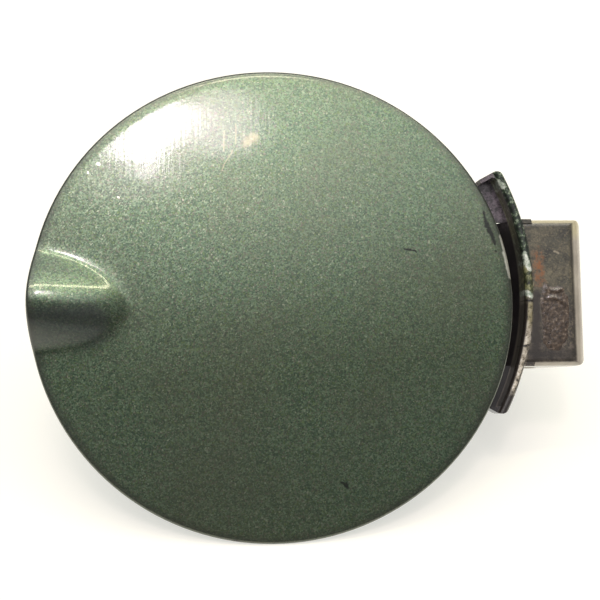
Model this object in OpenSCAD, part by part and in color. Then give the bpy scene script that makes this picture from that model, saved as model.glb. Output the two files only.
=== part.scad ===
// Round car fuel door on a gooseneck hinge arm, with its hinge bracket.
// Left to right is X, into the car is Y, up is Z, all in mm.
// The origin is midway between the two bracket bolts, on the bracket's back face.

/* [Door disc] */
// Width of the round door, measured along the car
door_w = 165; // [130:1:200]
// Height of the round door
door_h = 163.2; // [128:0.2:198]
// Radius of the door's outward crown from left to right
crown_r_across = 1500; // [800:50:4000]
// Radius of the door's outward crown from bottom to top
crown_r_up = 420; // [400:10:2000]
// Thickness of the painted outer skin
skin_t = 0.75; // [0.65:0.05:0.95]
// Thickness of the inner panel
inner_t = 0.7; // [0.6:0.05:0.9]
// Width of the skin's edge folded back over the inner panel
hem_w = 9.5; // [8:0.5:11]
// Depth of the hollow between skin and inner panel
hollow = 4.5; // [4:0.25:6]

/* [Finger grip] */
// How far the raised grip reaches in from the door's edge
grip_len = 32; // [26:1:38]
// Height of the grip's mouth along the edge
grip_w = 36; // [30:1:42]
// How far the grip stands out of the door's face
grip_rise = 7; // [4:0.5:9]
// Height of the grip's middle above the door's middle
grip_up = 1.2; // [-4:0.2:4]

/* [Hinge arm] */
// Thickness of the arm's sheet steel
arm_t = 1.5; // [1.2:0.1:1.8]
// Height of the arm along the hinge axis
arm_h = 52.2; // [48:0.2:58]
// Height of the arm's middle above the door's middle
arm_up = 3.7; // [1:0.1:6]
// Gap between the door's edge and the arm's lip, where the body panel's edge sits
rim_gap = 6.6; // [5.5:0.1:7.5]
// How far the lip's front edge lies behind the door's edge
lip_back = 7; // [5:0.5:9]
// Height of the lip's centre of curvature above the door's middle
lip_up = 4.6; // [3:0.2:6]
// Angle of the lip's upper end above its own centre, in degrees
lip_top_angle = 28; // [25:0.5:31]
// Angle of the lip's lower end below its own centre, in degrees
lip_low_angle = 29; // [27:0.5:32]
// Depth of the gooseneck's throat behind the door's edge
throat_deep = 36; // [34:0.5:38]
// Height of the stiffening flanges along the arm
arm_flange = 6.5; // [4:0.5:6.5]
// Distance from the lip's outer side to the tab's right wall
tab_len = 19.3; // [18:0.1:21]
// Radius of the bend between the tab's face and its right wall
tab_bend = 6; // [4:0.5:7]
// How far the tab's face lies behind the lip's front edge
tab_back = 1.8; // [1:0.1:2.5]
// Depth of the tab's right wall
tab_wall = 6.5; // [5.5:0.5:8]

/* [Hinge] */
// Radius of the hinge pin
pin_r = 2.5; // [2:0.1:2.8]
// Distance of the hinge axis to the right of the door's edge
pin_right = 11; // [10.5:0.1:12.5]
// Depth of the hinge axis behind the door's edge
pin_deep = 28; // [27:0.5:30]
// Thickness of the bracket's sheet steel
bracket_t = 2; // [1.8:0.1:2.4]
// Depth of the bracket's back face behind the door's edge
bracket_deep = 48; // [47:0.5:52]
// Distance between the two bracket bolts
bolt_gap = 68; // [64:1:72]
// Radius of each bolt hole
bolt_hole_r = 3.3; // [2.7:0.1:3.6]
// Radius of the bracket's ears around the hinge pin
ear_r = 6; // [5.5:0.1:6.3]
// Thickness of each bush's flange
bush_flange = 0.8; // [0.6:0.1:1]

/* [Closing spring] */
// Radius of the spring's wire
wire_r = 0.8; // [0.6:0.05:0.9]
// Radius of the spring's coil, to the middle of the wire
coil_r = 5.2; // [4.9:0.1:5.3]
// Number of whole turns in the coil
coil_turns = 7; // [5:1:9]
// Rise of the coil with each turn
coil_pitch = 2.4; // [2:0.1:3]

/* [Latch, buffers and cap holder] */
// Thickness of the latch eye's sheet steel
eye_t = 1.5; // [1.2:0.1:2]
// How far the latch eye stands behind the inner panel
eye_h = 19; // [16:1:22]
// Width of the latch eye
eye_w = 17; // [16:1:20]
// Radius of the rivets that hold the latch eye
rivet_r = 2; // [1.6:0.1:2.4]
// Radius of each rubber buffer's head
buffer_r = 6; // [5:0.5:7]
// Height of each rubber buffer's head
buffer_h = 6; // [4:0.5:8]
// Distance of the buffers from the door's edge
buffer_in = 28; // [26:0.5:34]
// Angle of the buffers above and below the grip's axis, in degrees
buffer_angle = 56; // [50:1:62]
// Width of the cap holder's base
holder_w = 14; // [12:1:18]
// Height of the cap holder's base
holder_h = 22; // [20:1:26]
// Thickness of the cap holder's base
holder_t = 2; // [1.6:0.1:2.4]
// Radius of each flutter pad between skin and inner panel
pad_r = 7; // [5:0.5:8]

/* [Hidden] */
$fn = 64;
fit = 0.05; // running clearance of the pin in its bushes, on the radius
snug = 0.03; // gap between pieces that touch
rx = door_w / 2;
rz = door_h / 2;
hem_r = skin_t + inner_t / 2 + fit;
lip_in = rx + rim_gap;
lip_out = lip_in + 2 * arm_t;
tab_right = lip_out + tab_len;
tab_face = lip_back + tab_back;
arm_z0 = arm_up - arm_h / 2;
arm_z1 = arm_up + arm_h / 2;
pin_x = rx + pin_right;
bolt_x = rx - 12.5;
base_y = bracket_deep - bracket_t;
bush_r = pin_r + 1.2;
ear_z0 = arm_z0 + arm_t + bush_flange + 4 * fit;
ear_z1 = arm_z1 - arm_t - bush_flange - 4 * fit;
foot_x0 = rx - 52.5;
foot_x1 = rx - 27.5;
leg_x = pin_x - coil_r;
leg_z = arm_up - coil_turns * coil_pitch / 2;

// Outer surface of the door: a soft crown with the grip raised out of it.
function crown(x, z) = (x * x - rx * rx) / (2 * crown_r_across) + z * z / (2 * crown_r_up);
function grip_q(x, z) = norm([max(x + rx, 0) / grip_len, (z - grip_up) * 2 / grip_w]);
function soft(a) = (a + sqrt(a * a + 0.0016)) / 2;
function face_y(x, z) = crown(x, z) - grip_rise * soft(1 - pow(grip_q(x, z), 1.6));

// Inner panel: close to the skin at the hem and under the grip, dished away from it elsewhere,
// with a flat land under the arm's foot.
function ease(t) = let(c = min(max(t, 0), 1)) c * c * (3 - 2 * c);
function dish(x, z) = ease((rx - hem_w - 3.5 - norm([x, z * rx / rz])) / 8)
    * ease((grip_q(x, z) - 1.15) / 0.35);
function free_y(x, z) = face_y(x, z) + skin_t + fit + hollow * dish(x, z);
land_y = crown(foot_x1, arm_z1) + skin_t + hollow + inner_t + 0.3;
function land(x, z) = ease((x - foot_x0 + 12) / 8) * ease((foot_x1 + 13 - x) / 8)
    * ease((arm_h / 2 + 10 - abs(z - arm_up)) / 8)
    * ease((rx - hem_w - 3.5 - norm([x, z * rx / rz])) / 4);
function front_y(x, z) = free_y(x, z) * (1 - land(x, z)) + (land_y - inner_t) * land(x, z);
function back_y(x, z) = front_y(x, z) + inner_t;
foot_y = land_y + snug;

// Rings and spokes that both panels share, so that they nest.
spokes = concat([for (i = [0:19]) 162.2 + 1.7 * i], [for (i = [0:43]) 196.2 + i * 326 / 44]);
core = rx - 26.5;
outer_rings = [rx - hem_r, rx - 2.5, rx - 4.5, rx - 7, rx - hem_w];
inner_rings = [rx - hem_w - 3.5, rx - 17, rx - 21.5, core,
    0.9 * core, 0.8 * core, 0.7 * core, 0.6 * core, 0.48 * core, 0.24 * core];
rings = concat(outer_rings, inner_rings);
function flip(v) = [for (i = [len(v) - 1:-1:0]) v[i]];
function on_face(r, a, dy) = let(x = r * cos(a), z = r * sin(a) * rz / rx) [x, face_y(x, z) + dy, z];
function on_front(r, a, dy) = let(x = r * cos(a), z = r * sin(a) * rz / rx) [x, front_y(x, z) + dy, z];
function edge(r, a, t) = let(b = rx - hem_r, y = on_face(b, a, hem_r)[1] + r * sin(t), o = b + r * cos(t))
    [o * cos(a), y, o * sin(a) * rz / rx];
function skin_section(a) = concat(
    [for (r = flip(rings)) on_face(r, a, 0)],
    [for (t = [-60:30:60]) edge(hem_r, a, t)],
    [for (r = outer_rings) on_face(r, a, 2 * hem_r)],
    [for (r = flip(outer_rings)) on_face(r, a, 2 * hem_r - skin_t)],
    [for (t = [45, -45]) edge(hem_r - skin_t, a, t)],
    [for (r = rings) on_face(r, a, skin_t)]
);
panel_rings = concat([rx - hem_r - 0.3], [for (i = [1:len(rings) - 1]) rings[i]]);
function panel_section(a) = concat(
    [for (r = flip(panel_rings)) on_front(r, a, 0)],
    [for (r = panel_rings) on_front(r, a, inner_t)]
);
function on_chord(r, a, dy) = let(r0 = outer_rings[len(outer_rings) - 1], r1 = inner_rings[0],
    p = on_face(r0, a, dy), q = on_face(r1, a, dy)) p + (q - p) * (r0 - r) / (r0 - r1);
function bead_section(a) = let(r = rx - hem_w, y = 2 * hem_r - skin_t + fit) [
    on_chord(r - snug, a, y),
    on_chord(r - snug, a, y + skin_t * 0.8),
    on_chord(r - 1.1, a, y + skin_t * 0.5),
    on_chord(r - 1.8, a, y + 0.05)
];

// Closed shell through one section per spoke, with a middle point on each side. Its two sides are
// split into triangles the same way, so that skin and inner panel nest.
module shell(sections, front, back) {
    n = len(sections);
    m = len(sections[0]);
    points = concat([for (s = sections) each s], [front, back]);
    sides = [for (i = [0:n - 1]) for (j = [0:m - 2]) let(k = (i + 1) % n,
        a = i * m + j, b = a + 1, c = k * m + j, d = c + 1)
        each j < m / 2 ? [[a, b, d], [a, d, c]] : [[a, b, c], [b, d, c]]];
    fans = [for (i = [0:n - 1]) let(k = (i + 1) % n)
        each [[n * m, i * m, k * m], [n * m + 1, k * m + m - 1, i * m + m - 1]]];
    polyhedron(points = points, faces = concat(sides, fans), convexity = 8);
}

// Closed ring through one section per spoke, each section a closed loop.
module loop_ring(sections) {
    n = len(sections);
    m = len(sections[0]);
    points = [for (s = sections) each s];
    sides = [for (i = [0:n - 1]) for (j = [0:m - 1]) let(k = (i + 1) % n, l = (j + 1) % m)
        each [[i * m + j, i * m + l, k * m + l], [i * m + j, k * m + l, k * m + j]]];
    polyhedron(points = points, faces = sides, convexity = 8);
}

// Helpers for bent sheet
function unit(v) = v / norm(v);
function arc(o, r, a0, a1, n) = [for (i = [0:n]) let(a = a0 + (a1 - a0) * i / n) o + r * [cos(a), sin(a)]];
function bend(a, b, c, r, d) = let(u = unit(b - a), w = unit(c - b), s = sign(u[0] * w[1] - u[1] * w[0]),
    turn = acos(u * w), o = b - u * r * tan(turn / 2) + s * r * [-u[1], u[0]],
    a0 = atan2(-s * u[0], s * u[1])) arc(o, r - s * d, a0, a0 + s * turn, 5);
function side(p, r, d) = let(n = len(p) - 1, u = unit(p[1] - p[0]), w = unit(p[n] - p[n - 1])) concat(
    [p[0] + d * [-u[1], u[0]]],
    [for (i = [1:n - 1]) each bend(p[i - 1], p[i], p[i + 1], r[i], d)],
    [p[n] + d * [-w[1], w[0]]]
);
module band(p, r, d0, d1) polygon(concat(side(p, r, d0), flip(side(p, r, d1))));
module round_rect(x0, y0, x1, y1, r) {
    translate([x0 + r, y0]) square([x1 - x0 - 2 * r, y1 - y0]);
    translate([x0, y0 + r]) square([x1 - x0, y1 - y0 - 2 * r]);
    for (x = [x0 + r, x1 - r]) for (y = [y0 + r, y1 - r]) translate([x, y]) circle(r);
}
module sector(r0, r1, a0, a1) intersection() {
    difference() {
        circle(r1);
        circle(r0);
    }
    polygon([[0, 0], 2 * r1 * [cos(a0), sin(a0)], 2 * r1 * [cos((a0 + a1) / 2), sin((a0 + a1) / 2)],
        2 * r1 * [cos(a1), sin(a1)]]);
}
// Outline drawn in X and Z, from depth y0 to y1
module across(y0, y1) translate([0, y1, 0]) rotate([90, 0, 0]) linear_extrude(y1 - y0) children();
// Outline drawn in Y and Z, from x0 to x1
module along(x0, x1) translate([x0, 0, 0]) rotate([90, 0, 90]) linear_extrude(x1 - x0) children();
// Outline drawn in X and Y, from z0 to z1
module upright(z0, z1) translate([0, 0, z0]) linear_extrude(z1 - z0) children();
// Section drawn as distance and depth, turned about the lip's axis
module turned(a0, a1) translate([0, 0, lip_up]) rotate([-90, 0, 0]) rotate([0, 0, -a1])
    rotate_extrude(angle = a1 - a0) children();
// Sets a piece square to the inner panel's back at a place on it
module on_panel(x, z) {
    rise = atan((back_y(x, z + 1) - back_y(x, z - 1)) / 2);
    turn = atan((back_y(x + 1, z) - back_y(x - 1, z)) / 2);
    translate([x, back_y(x, z), z]) rotate([-rise, 0, turn]) rotate([-90, 0, 0]) children();
}
module seat() translate([-bolt_x, -bracket_deep, -arm_up]) children();

// Outer skin
module outer_skin() color([0.22, 0.33, 0.25]) seat()
    shell([for (a = spokes) skin_section(a)], [0, face_y(0, 0), 0], [0, face_y(0, 0) + skin_t, 0]);

// Inner panel with its holes
eye_x = grip_len - rx + 23.5;
eye_rivets = [-4.5, 4.5];
buffer_x = -(rx - buffer_in) * cos(buffer_angle);
buffer_z = (rz - buffer_in) * sin(buffer_angle);
holder_x = -4;
holder_z = arm_z0 - 9 - holder_h / 2;
holder_pins = [-holder_h * 0.27, holder_h * 0.27];
drain_z = 24 - rz;
drain_x = 0.22 * rx;
module inner_panel() color([0.25, 0.31, 0.26]) seat() difference() {
    shell([for (a = spokes) panel_section(a)], [0, front_y(0, 0), 0], [0, back_y(0, 0), 0]);
    for (s = [-1, 1]) on_panel(buffer_x, s * buffer_z)
        translate([0, 0, -3]) cylinder(h = 6, r = buffer_r * 0.5 + fit);
    for (z = eye_rivets) on_panel(eye_x, grip_up + z) translate([0, 0, -3])
        cylinder(h = 6, r = rivet_r + fit);
    for (z = holder_pins) on_panel(holder_x, holder_z + z) translate([0, 0, -3])
        cylinder(h = 6, r = 2.2 + 2 * fit);
    for (s = [-1, 1]) on_panel(s * drain_x, drain_z) translate([0, 0, -3]) cylinder(h = 6, r = 2.5);
}

// Sealer bead along the hem's edge
module hem_sealer() color([0.30, 0.31, 0.27]) seat() loop_ring([for (a = spokes) bead_section(a)]);

// Soft pads that keep the skin from drumming
module flutter_pad(x, z) seat() {
    y0 = face_y(x, z) + skin_t + 0.15;
    y1 = front_y(x, z) - 0.4;
    rise = atan((face_y(x, z + 1) - face_y(x, z - 1)) / 2);
    turn = atan((face_y(x + 1, z) - face_y(x - 1, z)) / 2);
    translate([x, (y0 + y1) / 2, z]) rotate([-rise, 0, turn]) rotate([-90, 0, 0])
        translate([0, 0, (y0 - y1) / 2]) cylinder(h = y1 - y0, r = pad_r);
}
module flutter_pad_upper() color([0.12, 0.12, 0.13]) flutter_pad(0, 0.59 * rz);
module flutter_pad_lower() color([0.12, 0.12, 0.13]) flutter_pad(0.27 * rx, -0.54 * rz);
module flutter_pad_left() color([0.12, 0.12, 0.13]) flutter_pad(-0.53 * rx, -0.29 * rz);

// Hinge arm: foot, gooseneck, lip with its end pans, and hinge tab, pressed from one sheet
neck = [[rx - 57, foot_y + arm_t / 2], [rx - 27.5, foot_y + arm_t / 2],
    [rx - 24, throat_deep + arm_t / 2], [rx - 3.5, throat_deep + arm_t / 2],
    [lip_in + arm_t / 2, 2 * lip_back], [lip_in + arm_t / 2, lip_back + 1.6]];
neck_r = [0, 7.5, 5, 5, 8, 0];
lip_deep = 2 * lip_back + 2;
pan_r = 3;
module neck_slab(z0, z1) translate([foot_x0, -20, z0]) cube([90, 90, z1 - z0]);
module neck_part(z0, z1, d) intersection() {
    turned(-60, 60) band(neck, neck_r, -arm_t / 2, d);
    neck_slab(z0, z1);
}
function inner_only(v) = [for (i = [1:len(v) - 2]) v[i]];
module lip_outline(r0, r1, inset, corner) {
    a0 = inset - lip_low_angle;
    a1 = lip_top_angle - inset;
    turn = asin(corner / (r1 - corner));
    translate([0, lip_up]) polygon(concat(
        arc([0, 0], r0, a1, a0, 16),
        arc((r1 - corner) * [cos(a0 + turn), sin(a0 + turn)], corner, a0 - 90, a0 + turn, 5),
        inner_only(arc([0, 0], r1 + (inset > 0 ? 0 : 0.3), a0 + turn, a1 - turn, 24)),
        arc((r1 - corner) * [cos(a1 - turn), sin(a1 - turn)], corner, a1 - turn, a1 + 90, 5)
    ));
}
module lip_ring() intersection() {
    turned(-lip_low_angle - 1, lip_top_angle + 1) {
        translate([lip_in, lip_back + arm_t]) square([2 * arm_t, lip_deep - lip_back - arm_t]);
        translate([lip_in + arm_t, lip_back + arm_t]) circle(arm_t);
    }
    across(0, 40) lip_outline(rx + 1, lip_out, 0, pan_r);
}
module end_pans() difference() {
    across(lip_back + 1, lip_deep - 0.2) lip_outline(rx + 1, lip_out - 1, 0, pan_r - 1);
    across(0, lip_deep - 0.2 - arm_t) lip_outline(rx - 2, lip_in + 0.1, 1, pan_r - arm_t);
    translate([0, -1, arm_z0 + 0.3]) cube([200, 60, arm_h - 0.6]);
}
module tab_block(d) {
    z0 = arm_z0 + d;
    z1 = arm_z1 - d;
    intersection() {
        upright(z0, z1) round_rect(0, tab_face + d, tab_right - d, 90, tab_bend - d);
        along(0, 150) round_rect(tab_face + d, z0, 90, z1, 2.6 - d);
        across(-1, 80) round_rect(0, z0, tab_right - d, z1, 4 - d);
    }
}
module tab_side() {
    translate([rx - 14, 0]) square([tab_right - rx + 14, tab_face + tab_wall]);
    polygon([[rx - 14, tab_face + tab_wall], [tab_right, tab_face + tab_wall],
        [pin_x + 6.3, pin_deep + 3], [pin_x - 3, pin_deep + 6.3],
        [rx - 8, throat_deep + arm_flange], [rx - 14, throat_deep + arm_flange]]);
    translate([pin_x, pin_deep]) circle(7);
}
module tab() difference() {
    intersection() {
        tab_block(0);
        upright(arm_z0 - 1, arm_z1 + 1) tab_side();
    }
    tab_block(arm_t);
    turned(-60, 60) polygon([[0, -30], [lip_in + arm_t / 2, -30], [lip_in + arm_t / 2, 2 * lip_back],
        [rx - 3.5, throat_deep + arm_t / 2], [0, throat_deep + arm_t / 2]]);
    translate([rx - 20, throat_deep - 3, arm_z0 - 1]) cube([12, 40, arm_h + 2]);
}
module hinge_arm() color([0.30, 0.28, 0.24]) seat() difference() {
    union() {
        neck_part(arm_z0, arm_z1, arm_t / 2);
        neck_part(arm_z0, arm_z0 + arm_t, arm_flange - arm_t / 2);
        neck_part(arm_z1 - arm_t, arm_z1, arm_flange - arm_t / 2);
        lip_ring();
        end_pans();
        tab();
    }
    translate([pin_x, pin_deep, arm_z0 - 1]) cylinder(h = arm_h + 2, r = bush_r);
    for (z = [-14, 14]) for (x = [foot_x0 + 7, foot_x0 + 17]) translate([x, foot_y + arm_t + 1.7, arm_up + z])
        sphere(r = 2);
}

// Flanged bushes in the arm
module bush(z, s) seat() translate([pin_x, pin_deep, z]) rotate([s > 0 ? 0 : 180, 0, 0]) rotate_extrude()
    polygon([[pin_r + fit, 0], [ear_r, 0], [ear_r, bush_flange], [bush_r - snug / 3, bush_flange],
        [bush_r - snug / 3, bush_flange + arm_t + 0.2], [pin_r + fit, bush_flange + arm_t + 0.2]]);
module bush_upper() color([0.88, 0.87, 0.80]) bush(arm_z1 - arm_t - bush_flange - snug, 1);
module bush_lower() color([0.88, 0.87, 0.80]) bush(arm_z0 + arm_t + bush_flange + snug, -1);

// Hinge bracket: base plate with two ears bent up from it
ear_round = 3;
module ear_ring(d) round_rect(0, ear_z0 + d, base_y + bracket_t - d, ear_z1 - d, ear_round - d);
module ear_side() {
    translate([rx - 2, base_y]) square([pin_x + 9.5 - rx + 2, bracket_t]);
    polygon([[pin_x - ear_r, pin_deep], [pin_x + ear_r, pin_deep], [pin_x + 8.5, base_y + 1],
        [pin_x - 8.5, base_y + 1]]);
    translate([pin_x, pin_deep]) circle(ear_r);
}
module hinge_bracket() color([0.62, 0.62, 0.60]) seat() difference() {
    union() {
        intersection() {
            difference() {
                along(rx - 4, rx + 40) ear_ring(0);
                along(rx - 5, rx + 41) ear_ring(bracket_t);
                translate([rx - 5, -1, ear_z0 + bracket_t]) cube([50, 20, ear_z1 - ear_z0 - 2 * bracket_t]);
            }
            upright(ear_z0 - 1, ear_z1 + 1) ear_side();
        }
        across(base_y, bracket_deep) {
            round_rect(bolt_x - 10, arm_up - bolt_gap / 2 - 9, bolt_x + 10, arm_up + bolt_gap / 2 + 9, 6);
            translate([bolt_x, ear_z0 + ear_round])
                square([rx - bolt_x + 4, ear_z1 - ear_z0 - 2 * ear_round]);
        }
    }
    for (s = [-1, 1]) translate([bolt_x, base_y - 1, arm_up + s * bolt_gap / 2]) rotate([-90, 0, 0])
        cylinder(h = bracket_t + 2, r = bolt_hole_r);
    translate([pin_x, pin_deep, arm_z0]) cylinder(h = arm_h, r = pin_r + snug / 3);
    translate([leg_x, base_y - 1, leg_z]) rotate([-90, 0, 0]) cylinder(h = bracket_t + 2, r = wire_r + 0.25);
}

// Hinge pin with two grooves, and the two rings that sit in them
clip_t = 0.8;
groove_z = [ear_z0 + bracket_t + 0.1, ear_z1 - bracket_t - 0.1 - clip_t];
module hinge_pin() color([0.75, 0.76, 0.78]) seat() difference() {
    translate([pin_x, pin_deep, arm_z0 - 0.2]) union() {
        translate([0, 0, 0.5]) cylinder(h = arm_h - 0.6, r = pin_r);
        cylinder(h = 0.5, r1 = pin_r - 0.5, r2 = pin_r);
        translate([0, 0, arm_h - 0.1]) cylinder(h = 0.5, r1 = pin_r, r2 = pin_r - 0.5);
    }
    for (z = groove_z) translate([pin_x, pin_deep, z - 0.05]) difference() {
        cylinder(h = clip_t + 0.1, r = pin_r + 1);
        translate([0, 0, -1]) cylinder(h = clip_t + 2, r = pin_r - 0.5);
    }
}
module pin_clip(z) seat() translate([pin_x, pin_deep, z]) linear_extrude(clip_t) difference() {
    circle(pin_r + 1.6);
    circle(pin_r - 0.45);
    translate([0, -1]) square([pin_r + 3, 2]);
}
module pin_clip_lower() color([0.2, 0.2, 0.21]) pin_clip(groove_z[0]);
module pin_clip_upper() color([0.2, 0.2, 0.21]) pin_clip(groove_z[1]);

// Sleeve that keeps the coil off the pin
sleeve_r = coil_r - wire_r - 0.3;
module spring_sleeve() color([0.15, 0.15, 0.16]) seat()
    translate([pin_x, pin_deep, groove_z[0] + clip_t + 0.2]) difference() {
        cylinder(h = groove_z[1] - groove_z[0] - clip_t - 0.4, r = sleeve_r);
        translate([0, 0, -1]) cylinder(h = arm_h, r = pin_r + fit);
    }

// Torsion spring: a leg against the lip's wall, the coil, and a leg in the bracket
leg_end = [lip_out + wire_r + 1.4 - pin_x, tab_face + arm_t + 2.5 - pin_deep];
leg_dir = atan2(leg_end[1], leg_end[0]) + 360;
coil_start = leg_dir - acos(coil_r / norm(leg_end));
coil_sweep = coil_start - 180 + 360 * coil_turns;
coil_steps = 16 * coil_turns;
coil_top = leg_z + coil_turns * coil_pitch;
function coil_at(i) = let(t = i / coil_steps, a = coil_start - coil_sweep * t)
    [coil_r * cos(a), coil_r * sin(a), coil_top + (leg_z - coil_top) * t, cos(a), sin(a)];
spring_path = concat(
    [[leg_end[0], leg_end[1], coil_top, cos(coil_start), sin(coil_start)]],
    [for (i = [0:coil_steps]) coil_at(i)],
    [[-coil_r, bracket_deep - pin_deep - 0.4, leg_z, -1, 0]]
);
module torsion_spring() color([0.55, 0.55, 0.57]) seat() translate([pin_x, pin_deep, 0]) {
    m = 6;
    n = len(spring_path);
    points = [for (p = spring_path) for (b = [0:m - 1])
        let(w = wire_r * cos(60 * b)) [p[0] + w * p[3], p[1] + w * p[4], p[2] + wire_r * sin(60 * b)]];
    sides = [for (i = [0:n - 2]) for (j = [0:m - 1]) let(l = (j + 1) % m)
        each [[i * m + j, i * m + l, (i + 1) * m + l], [i * m + j, (i + 1) * m + l, (i + 1) * m + j]]];
    polyhedron(points = points, faces = concat(sides, [[for (j = [m - 1:-1:0]) j]],
        [[for (j = [0:m - 1]) (n - 1) * m + j]]), convexity = 10);
}

// Latch eye, riveted to the inner panel behind the grip
eye_foot_y = max([for (x = [-8, 0, 8]) for (z = [-1, 0, 1]) back_y(eye_x + x, grip_up + z * eye_w / 2)]) + 0.1;
module striker_eye() color([0.50, 0.50, 0.48]) seat() difference() {
    intersection() {
        upright(grip_up - 50, grip_up + 50) band([[eye_x + 8, eye_foot_y + eye_t / 2],
            [eye_x - 8, eye_foot_y + eye_t / 2], [eye_x - 8, eye_foot_y + eye_h]],
            [0, 3, 0], -eye_t / 2, eye_t / 2);
        along(eye_x - 20, eye_x + 20) round_rect(eye_foot_y - 10, grip_up - eye_w / 2,
            eye_foot_y + eye_h, grip_up + eye_w / 2, 4);
    }
    translate([eye_x - 20, eye_foot_y + eye_h - 11, grip_up - 4]) cube([20, 6, 8]);
    for (z = eye_rivets) on_panel(eye_x, grip_up + z) translate([0, 0, -3])
        cylinder(h = 9, r = rivet_r + fit);
}
module striker_rivet(z) seat() on_panel(eye_x, grip_up + z) rotate_extrude() union() {
    grip_in = inner_t + fit * 4;
    head = eye_foot_y - back_y(eye_x, grip_up + z) + eye_t + 0.12;
    translate([0, -grip_in]) square([rivet_r, head + grip_in]);
    translate([0, -grip_in - 1]) square([rivet_r * 1.7, 1]);
    intersection() {
        translate([0, head - rivet_r * 0.9]) circle(rivet_r * 1.9);
        translate([0, head]) square(rivet_r * 2);
    }
}
module striker_rivet_upper() color([0.66, 0.66, 0.66]) striker_rivet(eye_rivets[1]);
module striker_rivet_lower() color([0.66, 0.66, 0.66]) striker_rivet(eye_rivets[0]);

// Rubber buffers plugged into the inner panel
module buffer(s) seat() on_panel(buffer_x, s * buffer_z) rotate_extrude()
    polygon([[0, -inner_t - 2.6], [buffer_r * 0.35, -inner_t - 2.6],
        [buffer_r * 0.72, -inner_t - 0.15], [buffer_r * 0.5, -inner_t - 0.15], [buffer_r * 0.5, 0.15],
        [buffer_r, 0.15], [buffer_r, buffer_h * 0.6], [buffer_r * 0.85, buffer_h * 0.92],
        [buffer_r * 0.65, buffer_h], [0, buffer_h]]);
module buffer_upper() color([0.06, 0.06, 0.06]) buffer(1);
module buffer_lower() color([0.06, 0.06, 0.06]) buffer(-1);

// Holder that the unscrewed filler cap hangs on
holder_y = max([for (x = [-1:0.5:1]) for (z = [-1:0.125:1])
    back_y(holder_x + x * holder_w / 2, holder_z + z * holder_h / 2)]) + 0.1;
module cap_holder() color([0.07, 0.07, 0.08]) seat() {
    across(holder_y, holder_y + holder_t)
        round_rect(holder_x - holder_w / 2, holder_z - holder_h / 2, holder_x + holder_w / 2,
            holder_z + holder_h / 2, 3);
    along(holder_x - 4, holder_x + 4) difference() {
        round_rect(holder_y + holder_t / 2, holder_z - 8, holder_y + holder_t + 9, holder_z + 9, 2);
        round_rect(holder_y + holder_t, holder_z - 5, holder_y + holder_t + 6, holder_z + 12, 1);
    }
    for (z = holder_pins) on_panel(holder_x, holder_z + z) translate([0, 0, -inner_t - 1.6]) {
        cylinder(h = holder_y - back_y(holder_x, holder_z + z) + inner_t + 2.6, r = 2.2);
        cylinder(h = 1.4, r1 = 2, r2 = 2.8);
    }
}

outer_skin();
inner_panel();
hem_sealer();
flutter_pad_upper();
flutter_pad_lower();
flutter_pad_left();
hinge_arm();
bush_upper();
bush_lower();
striker_eye();
striker_rivet_upper();
striker_rivet_lower();
buffer_upper();
buffer_lower();
cap_holder();
hinge_bracket();
hinge_pin();
pin_clip_upper();
pin_clip_lower();
spring_sleeve();
torsion_spring();
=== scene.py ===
# Car fuel door on its hinge arm: finish of every piece, floor, light and camera.
import math

import bmesh
import bpy
import numpy as np
from mathutils import Matrix, Vector


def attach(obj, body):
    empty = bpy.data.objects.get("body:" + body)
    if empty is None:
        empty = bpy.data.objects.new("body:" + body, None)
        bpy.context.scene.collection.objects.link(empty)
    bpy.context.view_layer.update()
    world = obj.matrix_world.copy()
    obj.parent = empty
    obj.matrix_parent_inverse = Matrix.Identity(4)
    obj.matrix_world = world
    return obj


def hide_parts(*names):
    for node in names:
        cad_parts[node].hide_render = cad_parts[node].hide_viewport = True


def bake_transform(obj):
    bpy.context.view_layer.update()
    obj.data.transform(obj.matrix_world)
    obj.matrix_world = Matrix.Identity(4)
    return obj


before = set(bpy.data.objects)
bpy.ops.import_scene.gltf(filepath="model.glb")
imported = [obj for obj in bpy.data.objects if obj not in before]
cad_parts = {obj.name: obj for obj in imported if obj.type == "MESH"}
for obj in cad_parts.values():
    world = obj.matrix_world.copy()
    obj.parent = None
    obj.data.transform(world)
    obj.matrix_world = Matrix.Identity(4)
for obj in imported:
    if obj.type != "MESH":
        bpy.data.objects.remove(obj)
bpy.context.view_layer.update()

# Sizes in mm, measured from the middle of the door's rim: X right, Y into the car, Z up.
# SEAT is where the row's origin, on the bracket's back face, lies in those sizes.
SEAT = (70.0, 48.0, 3.7)
MM_PER_M = 1000.0

# Door: half width and half height of the rim, radii of its crown, and how the face rolls off at the rim
RX, RZ = 82.5, 81.6
CROWN_ACROSS, CROWN_UP = 1500.0, 420.0
EDGE_BAND, EDGE_DROP = 4.0, 0.32

# Sheets, and the hem that folds the skin over the inner panel
SKIN_T, INNER_T, HEM_W, HEM_GAP = 0.75, 0.7, 9.5, 0.05
HEM_R = SKIN_T + INNER_T / 2 + HEM_GAP

# Finger grip from outside: height of its crest, half height of its mouth, and reach of its nose from the rim
GRIP_CREST, GRIP_HALF, GRIP_NOSE = -0.2, 17.3, 32.5
# Slope of its flanks, roundness of its crest, and fillet round its foot
GRIP_SLOPE, CREST_ROUND, GRIP_FILLET = 0.69, 7.6, 1.15
# How much the crest falls towards its nose, how far its outline starts outside the rim, and its lean
GRIP_FALL, GRIP_BEYOND, CREST_LEAN = 0.1, 3.0, 3.0

# The same grip as pressed into the inner panel, which the skin's inner side follows
PRESS_LEN, PRESS_W, PRESS_RISE, PRESS_UP = 32.0, 36.0, 7.0, 1.2
PRESS_POWER, PRESS_FILLET = 1.6, 0.04

# Hinge arm: sheet, height of the lip's centre, the lip's inner and outer radius, depth of the tab's face
ARM_T = 1.5
LIP_UP, LIP_IN, LIP_OUT, TAB_FACE = 4.6, 89.0, 92.1, 8.8

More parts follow.
